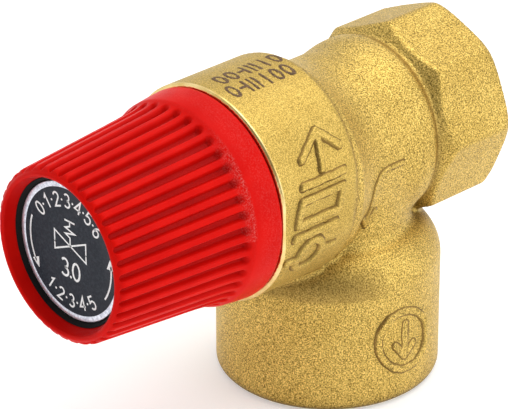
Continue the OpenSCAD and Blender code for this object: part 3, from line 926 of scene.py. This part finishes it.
class Print:
    """Flat white shapes on the label's face. Points are (a, b): right and up from the front."""

    def __init__(self):
        self.points, self.faces = [], []

    def patch(self, outline):
        first = len(self.points)
        self.points += [(a, -PRINT_S, AXIS_H + b) for a, b in outline]
        self.faces.append(list(range(first, len(self.points))))

    def line(self, points, width):
        """A stroke with mitred corners."""
        points = np.array(points, float)
        steps = np.diff(points, axis=0)
        steps /= np.linalg.norm(steps, axis=1, keepdims=True)
        sides = np.stack([-steps[:, 1], steps[:, 0]], -1)
        before = np.concatenate([sides[:1], sides])
        after = np.concatenate([sides, sides[-1:]])
        mitre = before + after
        mitre /= (mitre * after).sum(-1, keepdims=True)
        left, right = points + mitre * width / 2, points - mitre * width / 2
        for i in range(len(points) - 1):
            self.patch([left[i], right[i], right[i + 1], left[i + 1]])

    def ring_part(self, radius, start, end, width):
        angles = np.radians(np.linspace(start, end, max(3, int(abs(end - start) / 4))))
        self.line(np.stack([radius * np.cos(angles), radius * np.sin(angles)], -1), width)

    def arrow(self, start, end, width):
        """A curved arrow that ends in a head at the end angle."""
        way = 1 if end > start else -1
        self.ring_part(ARROW_R, start, end - way * 4, width)
        tip = math.radians(end + way * 3)
        back = math.radians(end - way * 8)
        self.patch([(ARROW_R * math.cos(tip), ARROW_R * math.sin(tip)),
                    ((ARROW_R - 0.85) * math.cos(back), (ARROW_R - 0.85) * math.sin(back)),
                    ((ARROW_R + 0.6) * math.cos(back), (ARROW_R + 0.6) * math.sin(back))])

    def digit(self, digit, centre, height, turn, width):
        """A numeral from its strokes, in a box 2 high and about 1.2 wide, turned clockwise."""
        scale, c, s = height / 2, math.cos(math.radians(turn)), math.sin(math.radians(turn))
        for points in DIGITS[digit]:
            self.line([(centre[0] + scale * (x * c + y * s), centre[1] + scale * (y * c - x * s))
                       for x, y in points], width)

    def dot(self, radius, angle, size):
        a, b = radius * math.cos(math.radians(angle)), radius * math.sin(math.radians(angle))
        self.patch([(a + size * math.cos(k), b + size * math.sin(k))
                    for k in np.linspace(0, 2 * math.pi, 12, endpoint=False)])


DIGITS = {
    0: [bow((0, 0), 0.55, 1.0, 91, 451, 17)],
    1: [[(-0.35, 0.55), (0.1, 1.0), (0.1, -1.0)]],
    2: [bow((0, 0.48), 0.52, 0.52, 165, -30) + [(-0.55, -1.0), (0.6, -1.0)]],
    3: [bow((-0.05, 0.5), 0.48, 0.5, 150, -90), bow((-0.05, -0.5), 0.55, 0.5, 90, -150)],
    4: [[(0.3, -1.0), (0.3, 1.0), (-0.6, -0.4), (0.62, -0.4)]],
    5: [[(0.5, 1.0), (-0.4, 1.0), (-0.48, 0.1)] + bow((0, -0.36), 0.58, 0.64, 128, -150)],
    6: [bow((0.05, -0.42), 0.52, 0.58, 90, 450, 17), bow((0.5, -0.3), 1.0, 1.3, 180, 98)],
}
SCALE_R = 7.3
SCALE_STEP = 17


def make_print():
    art = Print()
    art.arrow(161, 214, 0.28)
    art.arrow(-34, 10, 0.28)
    for number in range(7):
        angle = 93 + SCALE_STEP * (3 - number)
        place = SCALE_R * math.cos(math.radians(angle)), SCALE_R * math.sin(math.radians(angle))
        art.digit(number, place, 1.9, 90 - angle, 0.27)
        if number < 6:
            art.dot(SCALE_R, angle - SCALE_STEP / 2, 0.17)
    for step, number in enumerate((1, 2, 3, 4, 5)):
        angle = 236 + SCALE_STEP * step
        place = SCALE_R * math.cos(math.radians(angle)), SCALE_R * math.sin(math.radians(angle))
        art.digit(number, place, 1.8, 270 - angle, 0.27)
        if step < 4:
            art.dot(SCALE_R, angle + SCALE_STEP / 2, 0.17)
    # Drawing symbol of a spring-loaded valve: two triangles, a stem with its spring and a stop
    for side in (-1, 1):
        art.line([(side * 3.1, 0.6), (side * 3.1, -0.6), (0, 0.8), (side * 3.1, 2.2),
                  (side * 3.1, 0.4)], 0.24)
    art.line([(0, 0.8), (0, 2.0), (-0.9, 2.4), (0.9, 2.85), (-0.9, 3.3), (0, 3.7), (0, 4.4)], 0.24)
    art.line([(-1.0, 4.4), (1.0, 4.4)], 0.26)
    art.digit(3, (-1.15, -2.7), 2.5, 0, 0.34)
    art.dot(3.8, 269, 0.2)
    art.digit(0, (1.05, -2.7), 2.5, 0, 0.34)
    obj = new_object("dial_print", art.points, art.faces, [WHITE_PRINT], smooth=False)
    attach(obj, "cap")
    return obj


make_cap()
make_plug()
make_label()
make_print()


# ---------------------------------------------------------------- spring and diaphragm

SPRING_WIRE_R = 0.9
SPRING_MEAN_R = 6.8
SPRING_TURNS = 7
SPRING_LOW, SPRING_HIGH = s_range("spring")


def make_spring():
    """Round wire with closed ground ends."""
    per_turn, around = 40, 12
    turns = np.linspace(0, SPRING_TURNS, SPRING_TURNS * per_turn + 1)
    low, high = SPRING_LOW + SPRING_WIRE_R, SPRING_HIGH - SPRING_WIRE_R
    climb = smoothstep(0.5, SPRING_TURNS - 0.5, turns) * 0.35
    climb = climb + 0.65 * np.clip((turns - 0.75) / (SPRING_TURNS - 1.5), 0, 1)
    s = low + (high - low) * climb
    angle = 2 * np.pi * turns
    section = np.linspace(0, 2 * np.pi, around, endpoint=False)
    r = SPRING_MEAN_R + SPRING_WIRE_R * np.cos(section)[None, :]
    height = s[:, None] + SPRING_WIRE_R * np.sin(section)[None, :]
    points = spindle_point(r + 0 * height, angle[:, None] + 0 * height, height).reshape(-1, 3)
    faces = grid_faces(len(turns), around, False, True).tolist()
    faces.append(list(range(around)))
    faces.append(list(range(len(points) - around, len(points)))[::-1])
    obj = new_object("set_spring", points, faces, [SPRING_STEEL])
    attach(obj, "valve_body")
    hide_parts("spring")
    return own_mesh(obj)


def make_diaphragm():
    """Moulded rubber sheet with a rolled fold between its hub and its clamped rim."""
    low, high = s_range("diaphragm")
    top = [(2.55, low + 1.2), (7.6, low + 1.2), (8.3, low + 1.35), (9.0, high - 0.85),
           (9.6, high - 0.2), (10.2, high), (13.4, high)]
    under = [(13.5, high - 0.1), (13.5, high - 1.1), (13.4, high - 1.2), (10.4, high - 1.2),
             (10.0, high - 1.4), (9.3, low + 0.9), (8.7, low + 0.25), (8.1, low), (2.55, low)]
    obj = lathe("rubber_diaphragm", top + under, [RUBBER], 96)
    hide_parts("diaphragm")
    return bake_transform(obj)


make_spring()
make_diaphragm()


# ---------------------------------------------------------------- inner CAD parts

FINISHES = {
    "bonnet": TURNED_BRASS, "slip_ring": STEEL, "adjusting_screw": TURNED_BRASS,
    "thrust_washer": STEEL, "spindle": TURNED_BRASS, "disc_holder": TURNED_BRASS,
    "seal_disc": RUBBER, "seal_washer": STEEL, "seal_screw": STEEL, "diaphragm_plate": STEEL,
    "spring_plate": STEEL, "diaphragm_nut": STEEL, "cap_washer": STEEL, "cap_nut": STEEL,
}
for node, finish in FINISHES.items():
    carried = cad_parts[node]
    carried.data.materials.clear()
    carried.data.materials.append(finish)


# ---------------------------------------------------------------- floor, light and camera

def make_floor():
    material, nodes, links, bsdf = new_material("studio_floor")
    cloud = noise(nodes, links, 0.004, 2.0)
    links.new(ramp(nodes, links, cloud.outputs["Fac"], [(0.3, 0.78), (0.7, 0.80)]),
              bsdf.inputs["Base Color"])
    bsdf.inputs["Emission Color"].default_value = (1, 1, 1, 1)
    bsdf.inputs["Emission Strength"].default_value = 0.40
    bsdf.inputs["Roughness"].default_value = 0.9
    bsdf.inputs["Specular IOR Level"].default_value = 0.1
    size = 1500
    corners = [(-size, -size, 0), (size, -size, 0), (size, size, 0), (-size, size, 0)]
    new_object("floor", corners, [[0, 1, 2, 3]], [material], smooth=False)


def area_light(name, place_mm, target_mm, width_mm, height_mm, watts):
    light = bpy.data.lights.new(name, "AREA")
    light.shape = "RECTANGLE"
    light.size, light.size_y = width_mm * MM, height_mm * MM
    light.energy = watts
    obj = bpy.data.objects.new(name, light)
    place, target = Vector(place_mm) * MM, Vector(target_mm) * MM
    obj.matrix_world = (Matrix.Translation(place)
                        @ (place - target).to_track_quat("Z", "Y").to_matrix().to_4x4())
    bpy.context.scene.collection.objects.link(obj)


ROOM_SIDE = Vector((0.33, -0.80, 0.50)).normalized()


def make_lights():
    """White studio all round, darker towards the room on the open side, and two softboxes."""
    middle = (0, -12, 25)
    area_light("top_softbox", (40, 90, 430), middle, 420, 420, 0.95)
    area_light("side_softbox", (420, 200, 200), middle, 300, 300, 0.4)
    world = bpy.data.worlds.new("studio")
    world.use_nodes = True
    nodes, links = world.node_tree.nodes, world.node_tree.links
    background = nodes["Background"]
    direction = nodes.new("ShaderNodeTexCoord")
    towards = nodes.new("ShaderNodeVectorMath")
    towards.operation = "DOT_PRODUCT"
    towards.inputs[1].default_value = ROOM_SIDE
    links.new(direction.outputs["Generated"], towards.inputs[0])
    shade = ramp(nodes, links, towards.outputs["Value"], [(0.50, 0.95), (0.92, 0.25)])
    links.new(shade, background.inputs["Color"])
    background.inputs["Strength"].default_value = 1.0
    bpy.context.scene.world = world


CAMERA_AZIMUTH = math.radians(46.34)
CAMERA_ELEVATION = math.radians(27.33)
CAMERA_ROLL = math.radians(-0.10)
CAMERA_DISTANCE = 460
CAMERA_TARGET = Vector((-7.15, -7.68, 24.75))
CAMERA_LENS = 231.15


def make_camera():
    camera = bpy.data.cameras.new("camera")
    camera.sensor_width = 36
    camera.lens = CAMERA_LENS
    camera.clip_start, camera.clip_end = 0.01, 20
    level = math.cos(CAMERA_ELEVATION)
    back = Vector((math.sin(CAMERA_AZIMUTH) * level, -math.cos(CAMERA_AZIMUTH) * level,
                   math.sin(CAMERA_ELEVATION)))
    right = Vector((math.cos(CAMERA_AZIMUTH), math.sin(CAMERA_AZIMUTH), 0))
    up = back.cross(right)
    turned = Matrix((right, up, back)).transposed() @ Matrix.Rotation(CAMERA_ROLL, 3, "Z")
    obj = bpy.data.objects.new("camera", camera)
    obj.matrix_world = (Matrix.Translation((CAMERA_TARGET + back * CAMERA_DISTANCE) * MM)
                        @ turned.to_4x4())
    bpy.context.scene.collection.objects.link(obj)
    bpy.context.scene.camera = obj


make_floor()
make_lights()
make_camera()
bpy.context.scene.view_settings.view_transform = "Standard"
